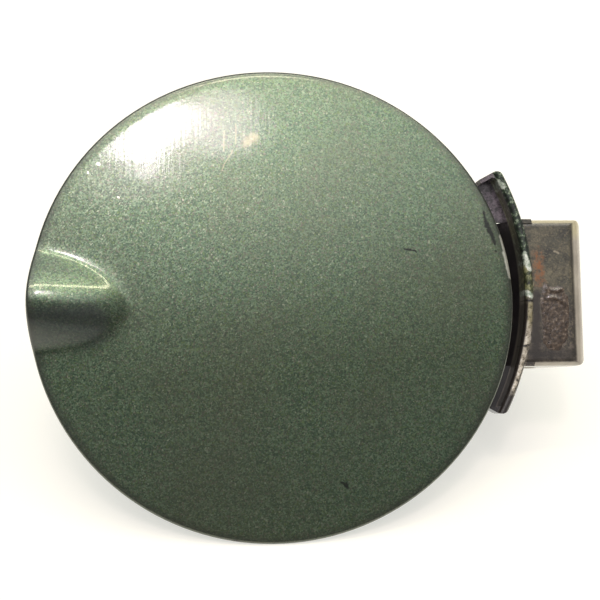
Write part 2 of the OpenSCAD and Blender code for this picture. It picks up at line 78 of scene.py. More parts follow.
# Hinge pin, and the closing spring that winds round it
PIN_X, PIN_DEEP = 93.5, 28.0
WIRE_R, COIL_R, COIL_TURNS, COIL_PITCH = 0.8, 5.2, 7, 2.4

# The table, in m in the row's frame: the two places (Y, Z) where the door's rim and the bracket rest on
# it, half its width, and how far it runs before and behind the rim
RIM_DOWN, BRACKET_DOWN = (-0.0414, -0.0856), (0.0003, -0.0432)
TABLE_HALF, TABLE_FRONT, TABLE_BACK = 2.5, 0.38, 3.0


def to_row(points):
    """Points in mm from the door's middle, in metres from the row's origin."""
    return (np.asarray(points, float) - np.array(SEAT)) / MM_PER_M


# Shapes

def crown_depth(x, z):
    """Depth of the door's face without the grip."""
    return (x * x - RX * RX) / (2 * CROWN_ACROSS) + z * z / (2 * CROWN_UP)


def face_depth(x, z):
    """Depth of the outer face. The grip has a round crest that falls and leans a little towards its nose,
    straight flanks and a small fillet round its foot, and the last stretch before the rim rolls off."""
    along = (x + RX + GRIP_BEYOND) / (GRIP_NOSE + GRIP_BEYOND)
    ridge = np.sqrt(np.maximum(CREST_ROUND ** 2 + GRIP_HALF ** 2 * (1 - along ** 2), 0))
    middle = GRIP_CREST + CREST_LEAN * (0.5 - along)
    rise = GRIP_SLOPE * (1 + GRIP_FALL * (0.5 - along)) * (ridge - np.hypot(z - middle, CREST_ROUND))
    lift = (rise + np.sqrt(rise * rise + GRIP_FILLET ** 2)) / 2
    edge = np.maximum(np.hypot(x, z * RX / RZ) - (RX - EDGE_BAND), 0) / EDGE_BAND
    return crown_depth(x, z) + EDGE_DROP * edge ** 2 - lift


def inner_depth(x, z):
    """Depth of the skin's inner side, which lies on the inner panel."""
    reach = np.hypot(np.maximum(x + RX, 0) / PRESS_LEN, (z - PRESS_UP) * 2 / PRESS_W)
    rise = 1 - reach ** PRESS_POWER
    return crown_depth(x, z) + SKIN_T - PRESS_RISE * (rise + np.sqrt(rise * rise + PRESS_FILLET ** 2)) / 2


def put(name, data):
    """A new object in the scene."""
    made = bpy.data.objects.new(name, data)
    bpy.context.scene.collection.objects.link(made)
    return made


def piece(name, points, faces, body, sharp=35):
    """A smooth mesh in the row's frame that rides on a body."""
    mesh = bpy.data.meshes.new(name)
    mesh.from_pydata([tuple(p) for p in to_row(points)], [], faces)
    work = bmesh.new()
    work.from_mesh(mesh)
    bmesh.ops.recalc_face_normals(work, faces=work.faces)
    work.to_mesh(mesh)
    work.free()
    mesh.shade_smooth()
    mesh.set_sharp_from_angle(angle=math.radians(sharp))
    made = put(name, mesh)
    if body:
        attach(made, body)
    return made


def smooth_copy(node, name, body, sharp):
    """A CAD node's own surface with its facets shaded as one smooth sheet."""
    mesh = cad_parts[node].data.copy()
    mesh.name = name
    mesh.materials.clear()
    work = bmesh.new()
    work.from_mesh(mesh)
    bmesh.ops.remove_doubles(work, verts=work.verts, dist=1e-6)
    work.to_mesh(mesh)
    work.free()
    if "custom_normal" in mesh.attributes:
        mesh.attributes.remove(mesh.attributes["custom_normal"])
    mesh.shade_smooth()
    mesh.set_sharp_from_angle(angle=math.radians(sharp))
    made = put(name, mesh)
    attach(made, body)
    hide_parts(node)
    return made


def door_skin():
    """Outer skin in one sheet: face, rolled edge, hem folded back and inner side, finer round the grip."""
    grip_from, grip_to = 158, 202  # degrees round the rim
    spokes = np.radians(np.concatenate([np.arange(grip_from, grip_to, 0.4),
                                        np.arange(grip_to, grip_from + 360, 2.4)]))
    # the rings are closest outside the core, and one point closes the eye in the middle
    hub, core, eye = RX - HEM_R, 46, 4
    hem = np.array([hub, RX - 2.5, RX - 4.5, RX - 7, RX - HEM_W])
    fine = np.concatenate([np.arange(hub, core, -0.55), np.linspace(core - 1, eye, 13)])
    coarse = np.concatenate([hem, np.arange(RX - HEM_W - 2, core, -1.6), np.linspace(core - 2, eye, 9)])

    def on_face(r, a, dy):
        x, z = r * math.cos(a), r * math.sin(a) * RZ / RX
        return (x, float(face_depth(x, z)) + dy, z)

    def roll(r, a, t):
        y = on_face(hub, a, HEM_R)[1] + r * math.sin(t)
        reach = hub + r * math.cos(t)
        return (reach * math.cos(a), y, reach * math.sin(a) * RZ / RX)

    rows = []
    for a in spokes:
        rows.append(
            [on_face(r, a, 0) for r in fine[::-1]]
            + [roll(HEM_R, a, math.radians(t)) for t in range(-75, 76, 15)]
            + [on_face(r, a, 2 * HEM_R) for r in hem]
            + [on_face(r, a, 2 * HEM_R - SKIN_T) for r in hem[::-1]]
            + [roll(HEM_R - SKIN_T, a, math.radians(t)) for t in (45, 0, -45)]
            + [(x, float(inner_depth(x, z)), z) for x, _, z in (on_face(r, a, 0) for r in coarse)]
        )
    n, m = len(rows), len(rows[0])
    points = [p for row in rows for p in row]
    points += [(0, float(face_depth(0, 0)), 0), (0, float(inner_depth(0, 0)), 0)]
    faces = [
        (i * m + j, i * m + j + 1, (i + 1) % n * m + j + 1, (i + 1) % n * m + j)
        for i in range(n)
        for j in range(m - 1)
    ]
    faces += [(n * m, i * m, (i + 1) % n * m) for i in range(n)]
    faces += [(n * m + 1, (i + 1) % n * m + m - 1, i * m + m - 1) for i in range(n)]
    skin = piece("door_skin", points, faces, "door", sharp=50)
    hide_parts("outer_skin")
    return skin


def spring_path(low, top):
    """The spring's middle line: leg behind the lip, seven turns down the pin, leg into the bracket."""
    beside_lip, behind_tab, before_back = 1.4, 2.5, 0.4
    leg = np.array([LIP_OUT + WIRE_R + beside_lip - PIN_X, TAB_FACE + ARM_T + behind_tab - PIN_DEEP])
    start = math.degrees(math.atan2(leg[1], leg[0])) + 360
    start -= math.degrees(math.acos(COIL_R / math.hypot(*leg)))
    sweep = start - 180 + 360 * COIL_TURNS
    first = np.array([COIL_R * math.cos(math.radians(start)), COIL_R * math.sin(math.radians(start))])
    path = [(leg[0], leg[1], top)]
    path += [(*(leg + (first - leg) * t), top) for t in np.linspace(0.1, 0.95, 8)]
    # the pitch eases in and out a little where the coil meets its legs
    ease = 0.06
    steps = 36 * COIL_TURNS
    for i in range(steps + 1):
        t = i / steps
        a = math.radians(start - sweep * t)
        down = t * t * (3 - 2 * t) * ease + t * (1 - ease)
        path.append((COIL_R * math.cos(a), COIL_R * math.sin(a), top + (low - top) * down))
    path += [(-COIL_R, y, low) for y in np.linspace(1.2, SEAT[1] - PIN_DEEP - before_back, 10)]
    return np.array(path) + np.array([PIN_X, PIN_DEEP, 0])


def closing_spring():
    """The torsion spring as one round wire that twists between the door and the bracket."""
    low = SEAT[2] - COIL_TURNS * COIL_PITCH / 2
    top = SEAT[2] + COIL_TURNS * COIL_PITCH / 2
    path = spring_path(low, top)
    sides = 14
    points, faces = [], []
    tangent = np.gradient(path, axis=0)
    tangent /= np.linalg.norm(tangent, axis=1)[:, None]
    up = np.array([0.0, 0.0, 1.0])
    for p, t in zip(path, tangent):
        u = up - t * (up @ t)
        u /= np.linalg.norm(u)
        v = np.cross(t, u)
        points += [p + WIRE_R * (math.cos(b) * u + math.sin(b) * v)
                   for b in np.linspace(0, 2 * math.pi, sides, endpoint=False)]
    for i in range(len(path) - 1):
        for j in range(sides):
            k = (j + 1) % sides
            faces.append((i * sides + j, i * sides + k, (i + 1) * sides + k, (i + 1) * sides + j))
    faces.append(tuple(range(sides - 1, -1, -1)))
    faces.append(tuple((len(path) - 1) * sides + j for j in range(sides)))
    spring = piece("closing_spring", points, faces, None)
    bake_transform(spring)
    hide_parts("torsion_spring")
    return spring


def wax_lift(x, z, t):
    """Height of the wax over the tab, t from its middle to its edge: thin with a rounded edge, a bead down
    its left side, and two folds near its upper end."""
    film, ripple, bead_tall, bead_right = 0.2, 0.05, 0.16, 99.3
    fold_x, fold_soft, fold_reach, fold_tilt = 99.5, 0.55, 3.2, 0.12
    fold = 0.0
    for fold_z, bow, tall in ((4.3, 0.09, 0.75), (1.7, -0.12, 0.5)):
        line = fold_z + bow * (x - fold_x) ** 2 - fold_tilt * (x - fold_x)
        end = math.exp(-((x - fold_x - 1) / fold_reach) ** 4)
        fold += tall * math.exp(-((z - line) / fold_soft) ** 2) * end
    bead = bead_tall * math.exp(-((t - 0.85) / 0.1) ** 2) if x < bead_right else 0.0
    return (film + ripple * math.sin(1.1 * x + 0.6 * z) + bead + fold) * (1 - t ** 6)


def wax_patch():
    """Dried cavity wax that ran down the tab's face: a thin crowned film, wrinkled where it started, with a
    rounded lower end."""
    middle_x, half_w, top, low = 99.7, 5.0, 6.6, -16.4
    middle_z, half_h = (top + low) / 2, (top - low) / 2
    sink = 0.02  # its edge lies just inside the tab, so that no gap shows
    n, m = 120, 30
    points, faces = [], []
    for i in range(n):
        a = 2 * math.pi * i / n
        c, s = math.cos(a), math.sin(a)
        wave = 1 + 0.06 * math.sin(3 * a + 1) + 0.04 * math.sin(7 * a) + 0.02 * math.sin(13 * a + 2)
        dx = half_w * math.copysign(abs(c) ** 0.55, c) * wave
        dz = half_h * math.copysign(abs(s) ** 0.6, s) * wave
        for j in range(m):
            t = j / (m - 1)
            x, z = middle_x + dx * t, middle_z + dz * t
            points.append((x, TAB_FACE + sink - wax_lift(x, z, t), z))
    points.append((middle_x, TAB_FACE + sink - wax_lift(middle_x, middle_z, 0), middle_z))
    for i in range(n):
        k = (i + 1) % n
        for j in range(1, m - 1):
            faces.append((i * m + j, i * m + j + 1, k * m + j + 1, k * m + j))
        faces.append((n * m, i * m + 1, k * m + 1))
    faces.append(tuple(i * m + m - 1 for i in range(n - 1, -1, -1)))
    film = piece("wax_film", points, faces, "door", sharp=80)
    return film


# Materials

def linear(code):
    """An sRGB hex colour as linear light."""
    parts = [int(code[i:i + 2], 16) / 255 for i in (1, 3, 5)]
    return tuple(c / 12.92 if c <= 0.04045 else ((c + 0.055) / 1.055) ** 2.4 for c in parts) + (1.0,)


def add(tree, kind, sockets=(), out=0, stops=(), **settings):
    """Adds a node with its settings and gives one of its outputs. The sockets are values or links, in the
    node's own order or by name."""
    node = tree.nodes.new("ShaderNode" + kind)
    for key, value in settings.items():
        setattr(node, key, value)
    if stops:
        while len(node.color_ramp.elements) < len(stops):
            node.color_ramp.elements.new(0.5)
        for element, (at, colour) in zip(node.color_ramp.elements, stops):
            element.position = at
            element.color = linear(colour) if isinstance(colour, str) else (colour,) * 3 + (1,)
    named = sockets if isinstance(sockets, dict) else dict(enumerate(sockets))
    for key, value in named.items():
        if isinstance(value, bpy.types.NodeSocket):
            tree.links.new(value, node.inputs[key])
        else:
            node.inputs[key].default_value = value
    return node.outputs[out] if len(node.outputs) else node


def finish(name, **values):
    """A new material with one principled shader, its plain values set on its own sockets. The last thing
    it gives is the place on the object, in mm from the door's middle."""
    material = bpy.data.materials.new(name)
    material.use_nodes = True
    tree = material.node_tree
    shader = tree.nodes["Principled BSDF"]
    for key, value in values.items():
        shader.inputs[key.replace("_", " ")].default_value = value
    where = add(tree, "VectorMath", (add(tree, "TexCoord", out="Object"), (MM_PER_M,) * 3, SEAT),
                operation="MULTIPLY_ADD")
    return material, tree, shader, where


def join(tree, shader, **sources):
    """Links patterns to the shader's sockets of those names."""
    for key, value in sources.items():
        tree.links.new(value, shader.inputs[key.replace("_", " ")])


def coats(tree, body, *layers):
    """Lays colours over a body in turn. A layer is a colour and one or more masks or strengths, which are
    multiplied."""
    for colour, amount, *others in layers:
        for other in others:
            amount = add(tree, "Math", (amount, other), operation="MULTIPLY")
        over = linear(colour) if isinstance(colour, str) else colour
        body = add(tree, "Mix", {0: amount, 6: body, 7: over}, out=2, data_type="RGBA")
    return body


def near_line(tree, where, start, end, width, soft, ragged, grain):
    """1 on a line between two points (X, Z), falling to 0 over a soft edge at its half width. The edge
    wanders by up to ragged mm, in steps of which grain gives the number to the mm."""
    across = add(tree, "TexNoise", {"Vector": where, "Scale": grain, "Detail": 3.0}, out="Color")
    shift = add(tree, "VectorMath", (across, (2 * ragged,) * 3, (-ragged,) * 3), operation="MULTIPLY_ADD")
    moved = add(tree, "VectorMath", (where, shift), operation="ADD")
    flat = add(tree, "VectorMath", (moved, (1, 0, 1)), operation="MULTIPLY")
    run = (end[0] - start[0], 0, end[1] - start[1])
    from_start = add(tree, "VectorMath", (flat, (start[0], 0, start[1])), operation="SUBTRACT")
    dot = add(tree, "VectorMath", (from_start, run), out="Value", operation="DOT_PRODUCT")
    share = add(tree, "Math", (dot, 1 / (run[0] ** 2 + run[2] ** 2)), operation="MULTIPLY", use_clamp=True)
    foot = add(tree, "VectorMath", {0: run, "Scale": share}, operation="SCALE")
    gap = add(tree, "VectorMath", (from_start, foot), out="Value", operation="DISTANCE")
    return add(tree, "MapRange", (gap, width - soft, width + soft, 1.0, 0.0),
               interpolation_type="SMOOTHSTEP")


def strokes(tree, where, *lines):
    """1 on any of the lines, each given as near_line takes it."""
    mask = near_line(tree, where, *lines[0])
    for line in lines[1:]:
        mask = add(tree, "Math", (mask, near_line(tree, where, *line)), operation="MAXIMUM")
    return mask


def green_metallic_lacquer():
    """Basecoat with aluminium flakes under clear lacquer: deep green, each flake catches the light by
    itself, and the lacquer above gives the crisp highlight."""
    material, tree, shader, where = finish("green_metallic_lacquer", Metallic=0.88, Coat_Weight=1.0,
                                           Coat_Roughness=0.09, Coat_IOR=1.5)
    # flakes are 0.02 mm in life, drawn as 0.45 mm cells so that they show
    flake = add(tree, "TexVoronoi", {"Vector": where, "Scale": 1 / 0.45}, out="Color")
    tone, hue, spark = (add(tree, "SeparateColor", (flake,), out=part) for part in ("Red", "Green", "Blue"))
    # painted reflection: warmer and duller in patches about 40 mm across, for warm surroundings mirrored in
    # the face
    cloud = add(tree, "TexNoise", {"Vector": where, "Scale": 1 / 40, "Detail": 3.0})
    body = add(tree, "ValToRGB", (tone,), stops=[(0.0, "#364a3a"), (0.5, "#50664e"), (1.0, "#70866a")])
    body = coats(tree, body,
                 ("#76695f", add(tree, "MapRange", (hue, 0.72, 1.0, 0.0, 0.5))),
                 ("#627436", add(tree, "MapRange", (hue, 0.25, 0.0, 0.0, 0.5))),
                 ("#b5b9a0", add(tree, "MapRange", (spark, 0.95, 1.0, 0.0, 0.4))),
                 ("#5d5a4a", add(tree, "MapRange", (cloud, 0.4, 0.68, 0.0, 0.3))))
    tilt = add(tree, "VectorMath", (flake, (0.06,) * 3, (-0.03,) * 3), operation="MULTIPLY_ADD")
    normal = add(tree, "VectorMath", (add(tree, "NewGeometry", out="Normal"), tilt), operation="ADD")
    normal = add(tree, "VectorMath", (normal,), operation="NORMALIZE")
    # clear lacquer never dries dead flat: orange peel about 1.6 mm across, and wiping marks down the face
    peel = add(tree, "TexNoise", {"Vector": where, "Scale": 1 / 1.6, "Detail": 1.0})
    coat = add(tree, "Bump", {"Strength": 0.07, "Distance": 0.0002, "Height": peel})
    down = add(tree, "VectorMath", (where, (1 / 1.3, 0, 1 / 26)), operation="MULTIPLY")
    wipes = add(tree, "TexNoise", {"Vector": down, "Scale": 1.0, "Detail": 3.0})
    coat = add(tree, "Bump", {"Strength": 0.35, "Distance": 0.00006, "Height": wipes, "Normal": coat})
    # marks lie on the outer face alone
    outward = add(tree, "SeparateXYZ", (add(tree, "TexCoord", out="Normal"),), out="Y")
    facing = add(tree, "MapRange", (outward, -0.1, 0.1, 1.0, 0.0))
    # scratch, chips and pit down to the dark primer, broken up where the tool skipped
    chipped = strokes(tree, where,
                      ((73.2, 30.9), (73.5, 27.6), 0.45, 0.35, 0.45, 0.9),
                      ((73.7, 27.6), (75.2, 24.0), 0.85, 0.4, 0.7, 0.9),
                      ((75.2, 24.2), (76.5, 20.2), 0.75, 0.4, 0.7, 0.9),
                      ((76.8, 17.4), (76.9, 17.2), 0.3, 0.25, 0.3, 0.9),
                      ((44.6, 17.9), (48.6, 17.2), 0.28, 0.2, 0.5, 0.9),
                      ((22.1, -61.2), (23.5, -62.4), 0.6, 0.3, 0.9, 0.7),
                      ((23.4, -61.4), (23.9, -63.0), 0.5, 0.3, 0.8, 0.7),
                      ((66.5, 48.9), (66.7, 48.7), 0.6, 0.3, 0.5, 0.9),
                      ((-14.6, -80.6), (-13.6, -80.4), 0.7, 0.3, 0.6, 0.8))
    chipped = add(tree, "Math", (chipped, facing), operation="MULTIPLY")
    # rim rubbed bright where it met the body panel, and three specks of cured overspray
    worn = strokes(tree, where,
                   ((79.0, 22.6), (80.6, 16.0), 0.6, 0.3, 0.4, 0.5),
                   ((80.4, 16.8), (82.0, 8.5), 1.05, 0.35, 0.5, 0.5),
                   ((-25.5, -79.6), (-16.0, -80.5), 0.35, 0.25, 0.4, 0.5),
                   ((-59.6, 47.7), (-59.3, 47.6), 0.5, 0.3, 0.4, 0.8),
                   ((-52.8, 36.1), (-52.6, 36.0), 0.33, 0.25, 0.3, 0.8),
                   ((-62.9, 44.9), (-62.8, 44.5), 0.28, 0.22, 0.3, 0.8))
    # a dab of dust and the streaks beside it
    dust = strokes(tree, where,
                   ((-9.0, 55.4), (-6.4, 57.4), 1.6, 1.1, 1.5, 0.5),
                   ((-16.7, 59.4), (-16.9, 52.4), 0.2, 0.2, 0.3, 0.3),
                   ((-12.6, 62.0), (-12.7, 55.0), 0.18, 0.2, 0.3, 0.3),
                   ((-14.1, 52.6), (-17.6, 45.5), 0.15, 0.2, 0.7, 0.35))
    # painted shade: the grip's underside is darkened to a dull grey, where it faces down and away from the
    # light
    underside_shade = near_line(tree, where, (-82.0, -8.8), (-62.0, -7.2), 6.5, 3.0, 0.5, 0.3)
    # painted shade: darker along the rolled edge, where the rim rolls away from the light
    flat = add(tree, "VectorMath", (where, (1, 0, RX / RZ)), operation="MULTIPLY")
    radius = add(tree, "VectorMath", (flat,), out="Value", operation="LENGTH")
    rim_shade = add(tree, "MapRange", (radius, 79.0, 81.8, 0.0, 0.65))
    body = coats(tree, body,
                 ("#10160f", chipped, 0.9),
                 ("#a09a7c", dust, facing, 0.5),
                 ("#4a4b4f", underside_shade, facing, 0.65),
                 ("#454440", rim_shade, facing),
                 ("#d9d8c8", worn, facing))
    rough = add(tree, "MapRange", (chipped, 0.0, 1.0, 0.35, 0.85))
    join(tree, shader, Base_Color=body, Normal=normal, Coat_Normal=coat, Roughness=rough)
    return material


def inner_side_paint():
    """Thin basecoat over grey primer on the pressed inner panel: half gloss, uneven, dusty in places."""
    material, tree, shader, where = finish("inner_side_paint", Metallic=0.35, Coat_Weight=0.35,
                                           Coat_Roughness=0.25)
    cloud = add(tree, "TexNoise", {"Vector": where, "Scale": 1 / 28, "Detail": 6.0, "Roughness": 0.6})
    body = add(tree, "ValToRGB", (cloud,), stops=[(0.3, "#34453a"), (0.5, "#4a5d4d"), (0.7, "#626a5b")])
    # the same flakes as outside, fewer of them, drawn 0.5 mm wide
    flake = add(tree, "TexVoronoi", {"Vector": where, "Scale": 1 / 0.5}, out="Color")
    speck = add(tree, "SeparateColor", (flake,), out="Red")
    dust = add(tree, "TexNoise", {"Vector": where, "Scale": 1 / 5, "Detail": 8.0, "Roughness": 0.7})
    body = coats(tree, body,
                 ("#93a189", add(tree, "MapRange", (speck, 0.8, 1.0, 0.0, 0.35))),
                 ("#8a8371", add(tree, "MapRange", (dust, 0.52, 0.8, 0.0, 0.4))))
    rough = add(tree, "MapRange", (dust, 0.4, 0.7, 0.4, 0.7))
    bump = add(tree, "Bump", {"Strength": 0.15, "Distance": 0.0003, "Height": dust})
    join(tree, shader, Base_Color=body, Roughness=rough, Normal=bump)
    return material


def arm_overspray():
    """Deep-drawn steel arm in dark electrocoat primer, dusted brownish green where the spray reached it:
    semi-gloss, worn to bare metal on the lip's lower edge and rusting beside it."""
    material, tree, shader, where = finish("arm_overspray", Metallic=0.2, Coat_Weight=0.9,
                                           Coat_Roughness=0.16)
    depth = add(tree, "SeparateXYZ", (where,), out="Y")
    height = add(tree, "SeparateXYZ", (where,), out="Z")
    cloud = add(tree, "TexNoise", {"Vector": where, "Scale": 1 / 7, "Detail": 8.0, "Roughness": 0.62})
    chips = add(tree, "TexNoise", {"Vector": where, "Scale": 1 / 1.6, "Detail": 6.0, "Roughness": 0.7})
    # overspray lands as single dry droplets, drawn 0.45 mm wide
    droplet = add(tree, "TexVoronoi", {"Vector": where, "Scale": 1 / 0.45}, out="Color")
    speck = add(tree, "SeparateColor", (droplet,), out="Red")
    # the tab: more dirt and less green towards its lower end, and dark pits all over
    body = add(tree, "ValToRGB", (cloud,), stops=[(0.34, "#33312a"), (0.46, "#48463a"), (0.56, "#5b5646"),
                                                  (0.68, "#736d58")])
    dirt = add(tree, "ValToRGB", (chips,), stops=[(0.38, "#241f1d"), (0.5, "#433a35"), (0.62, "#6e625a")])
    body = coats(tree, body,
                 (dirt, add(tree, "MapRange", (height, 6.0, -10.0, 0.0, 0.75))),
                 ("#8d8266", add(tree, "MapRange", (speck, 0.6, 1.0, 0.0, 0.35))),
                 ("#26221c", add(tree, "MapRange", (chips, 0.5, 0.38, 0.0, 0.6))))
    # the bends round the tab's face were drawn smooth; their pale colour is painted reflection of the white
    # surroundings, and the upper one is yellower still as painted light from above
    bend = add(tree, "MapRange", (depth, TAB_FACE + 0.2, TAB_FACE + 0.5, 0.0, 1.0))
    smooth = add(tree, "ValToRGB", (cloud,), stops=[(0.35, "#aaa294"), (0.65, "#c2baaa")])
    smooth = coats(tree, smooth, ("#d8cfa8", add(tree, "MapRange", (height, 22.0, 25.0, 0.0, 0.8))))
    # painted shade: a dark line down the fold where the tab's face turns into its right bend
    fold = near_line(tree, where, (106.7, 25.5), (106.7, -18.5), 0.35, 0.3, 0.2, 0.3)
    # rings round the lip's own centre tell the throat, the lip and the tab apart
    flat = add(tree, "VectorMath", (where, (1, 0, 1)), operation="MULTIPLY")
    centred = add(tree, "VectorMath", (flat, (0, 0, LIP_UP)), operation="SUBTRACT")
    radius = add(tree, "VectorMath", (centred,), out="Value", operation="LENGTH")
    throat = add(tree, "MapRange", (radius, LIP_IN + 0.3, LIP_IN - 0.3, 0.0, 1.0))
    past_inside = add(tree, "MapRange", (radius, LIP_IN - 0.3, LIP_IN + 0.3, 0.0, 1.0))
    within_outside = add(tree, "MapRange", (radius, LIP_OUT + 0.1, LIP_OUT + 0.5, 1.0, 0.0))
    lip = add(tree, "Math", (past_inside, within_outside), operation="MULTIPLY")
    # bare primer in the throat, painted nearly black as painted shade in the pocket, with a purple cast and
    # mottled near its upper end
    primer = add(tree, "ValToRGB", (cloud,), stops=[(0.3, "#1c191a"), (0.7, "#302c2d")])
    purple = add(tree, "ValToRGB", (chips,), stops=[(0.4, "#2f292d"), (0.5, "#5c5259"), (0.6, "#7b6f78")])
    primer = coats(tree, primer, (purple, add(tree, "MapRange", (height, 26.0, 32.0, 0.0, 1.0))))
    # the lip's upper half kept its green coat, mottled and chipped, with an olive stretch
    upper = add(tree, "MapRange", (height, 1.0, 3.5, 0.0, 1.0))
    green = add(tree, "ValToRGB", (chips,), stops=[(0.42, "#0e1210"), (0.5, "#223024"), (0.56, "#42543d"),
                                                   (0.63, "#97a38b")])
    olive = add(tree, "ValToRGB", (chips,), stops=[(0.4, "#23241a"), (0.5, "#4f5535"), (0.6, "#9b9a70")])
    stretch = near_line(tree, where, (90.4, 10.8), (91.0, 4.0), 2.6, 1.2, 0.6, 0.5)
    green = coats(tree, green, (olive, stretch))
    # its lower half is darker, and rubbed to bare steel along the front
    lower = add(tree, "MapRange", (height, 0.6, -0.6, 0.0, 1.0))
    front = add(tree, "MapRange", (depth, 9.2, 10.4, 1.0, 0.0))
    outer = add(tree, "MapRange", (radius, 89.7, 90.2, 0.0, 1.0))
    above_tip = add(tree, "MapRange", (height, -33.0, -30.0, 0.0, 1.0))
    ragged = add(tree, "MapRange", (chips, 0.36, 0.44, 0.0, 1.0))
    steel = add(tree, "ValToRGB", (chips,), stops=[(0.4, "#6f675a"), (0.5, "#b5ab98"), (0.62, "#e6dfd2")])
    steel = coats(tree, steel, ("#8b8359", add(tree, "MapRange", (height, -10.0, -6.0, 0.0, 0.7))))
    # chips through the coat down to bright steel, and dark cracks across the lip
    bright = strokes(tree, where,
                     ((89.2, 17.2), (90.0, 13.6), 0.7, 0.3, 0.9, 0.8),
                     ((89.8, 14.2), (91.0, 12.0), 1.2, 0.35, 0.9, 0.8),
                     ((89.0, 3.6), (91.4, 2.2), 0.9, 0.35, 0.9, 0.8),
                     ((80.9, 43.0), (81.9, 41.0), 0.7, 0.35, 0.9, 0.7))
    chip_tone = add(tree, "ValToRGB", (chips,), stops=[(0.4, "#8fa08c"), (0.5, "#c9d2c2"), (0.6, "#f2f4ea")])
    crack = strokes(tree, where,
                    ((87.5, 0.9), (92.5, 0.3), 0.28, 0.15, 0.4, 0.7),
                    ((87.0, -15.4), (92.0, -14.8), 0.3, 0.15, 0.5, 0.7),
                    ((91.3, 15.6), (92.0, 10.6), 0.3, 0.2, 0.4, 0.7),
                    ((89.6, -17.0), (86.0, -26.5), 0.22, 0.15, 0.35, 0.5),
                    ((86.0, -26.5), (84.3, -31.5), 0.22, 0.15, 0.35, 0.5))
    # rust that bled down the tab beside the lip, a dark strip below it that is painted shadow of the lip on
    # the tab, a painted highlight on a small fold, and road dirt that gathered along the tab's lower edge
    rust_zone = near_line(tree, where, (93.9, 17.5), (94.7, 7.5), 1.3, 1.5, 2.4, 0.6)
    rust_grain = add(tree, "MapRange", (chips, 0.44, 0.56, 0.1, 0.9))
    rust = add(tree, "Math", (rust_zone, rust_grain), operation="MULTIPLY")
    lip_shadow = near_line(tree, where, (93.4, 3.0), (92.6, -19.0), 1.5, 0.9, 1.0, 0.4)
    # painted highlight on a small fold in the coat
    fold_highlight = near_line(tree, where, (100.6, 18.4), (102.2, 17.6), 0.3, 0.25, 0.7, 0.6)
    foot = near_line(tree, where, (91.5, -18.3), (106.0, -18.6), 2.2, 2.2, 1.5, 0.4)
    body = coats(tree, body,
                 (smooth, bend),
                 ("#332f27", fold, 0.7),
                 (primer, throat),
                 (green, lip, upper),
                 ("#2a2421", lip, lower),
                 (steel, lip, front, outer, lower, above_tip, ragged),
                 (chip_tone, bright, lip),
                 ("#15120f", crack, lip),
                 ("#945c33", rust),
                 ("#29221d", lip_shadow, 0.9),
                 ("#8f8673", fold_highlight),
                 ("#241e1a", foot, add(tree, "MapRange", (bend, 0.0, 1.0, 0.75, 0.0))))
    rough = add(tree, "MapRange", (rust, 0.0, 1.0, 0.45, 0.9))
    # the bends have a tenth of the face's texture
    calm = add(tree, "MapRange", (bend, 0.0, 1.0, 1.0, 0.1))
    grain = add(tree, "Math", (chips, calm), operation="MULTIPLY")
    bump = add(tree, "Bump", {"Strength": 0.6, "Distance": 0.0005, "Height": grain})
    join(tree, shader, Base_Color=body, Roughness=rough, Normal=bump)
    return material


def dried_wax():
    """Cavity wax that has gone hard: brown, glossy and wrinkled, with dirt and grit in it."""
    material, tree, shader, where = finish("dried_wax", Roughness=0.24, Coat_Weight=0.8, Coat_Roughness=0.1)
    grain = add(tree, "TexNoise", {"Vector": where, "Scale": 1 / 1.2, "Detail": 4.0, "Roughness": 0.6})
    body = add(tree, "ValToRGB", (grain,), stops=[(0.36, "#30261d"), (0.5, "#483b30"), (0.6, "#5c4e41"),
                                                  (0.7, "#87796a")])
    folds = add(tree, "TexNoise", {"Vector": where, "Scale": 1 / 1.5, "Detail": 4.0, "Distortion": 1.2})
    bump = add(tree, "Bump", {"Strength": 0.6, "Distance": 0.0005, "Height": folds})
    join(tree, shader, Base_Color=body, Normal=bump)
    return material


def seam_sealer():
    """PVC seam sealer brushed on and sprayed over: soft edges, brush marks about 2.5 mm apart."""
    material, tree, shader, where = finish("seam_sealer", Roughness=0.6)
    grain = add(tree, "TexNoise", {"Vector": where, "Scale": 1 / 2.5, "Detail": 5.0})
    body = add(tree, "ValToRGB", (grain,), stops=[(0.35, "#40503f"), (0.6, "#66705c")])
    bump = add(tree, "Bump", {"Strength": 0.5, "Distance": 0.0004, "Height": grain})
    join(tree, shader, Base_Color=body, Normal=bump)
    return material


def pad_foam():
    """Expanded butyl foam: matt black with open cells about 0.6 mm across."""
    material, tree, shader, where = finish("pad_foam", Roughness=0.9)
    cells = add(tree, "TexVoronoi", {"Vector": where, "Scale": 1 / 0.6})
    body = add(tree, "ValToRGB", (cells,), stops=[(0.0, "#0e0e0f"), (0.6, "#232425")])
    bump = add(tree, "Bump", {"Strength": 0.6, "Distance": 0.0003, "Height": cells})
    join(tree, shader, Base_Color=body, Normal=bump)
    return material


def moulded_plastic(name, dark, light, roughness):
    """Injection-moulded plastic: spark-eroded grain about 0.4 mm, and patches about 9 mm across that are
    duller and paler where it is handled."""
    material, tree, shader, where = finish(name, IOR=1.49)
    grain = add(tree, "TexNoise", {"Vector": where, "Scale": 1 / 0.4, "Detail": 2.0})
    cloud = add(tree, "TexNoise", {"Vector": where, "Scale": 1 / 9, "Detail": 4.0})
    body = add(tree, "ValToRGB", (cloud,), stops=[(0.3, dark), (0.7, light)])
    rough = add(tree, "MapRange", (cloud, 0.3, 0.7, roughness - 0.08, roughness + 0.1))
    bump = add(tree, "Bump", {"Strength": 0.12, "Distance": 0.0002, "Height": grain})
    join(tree, shader, Base_Color=body, Roughness=rough, Normal=bump)
    return material


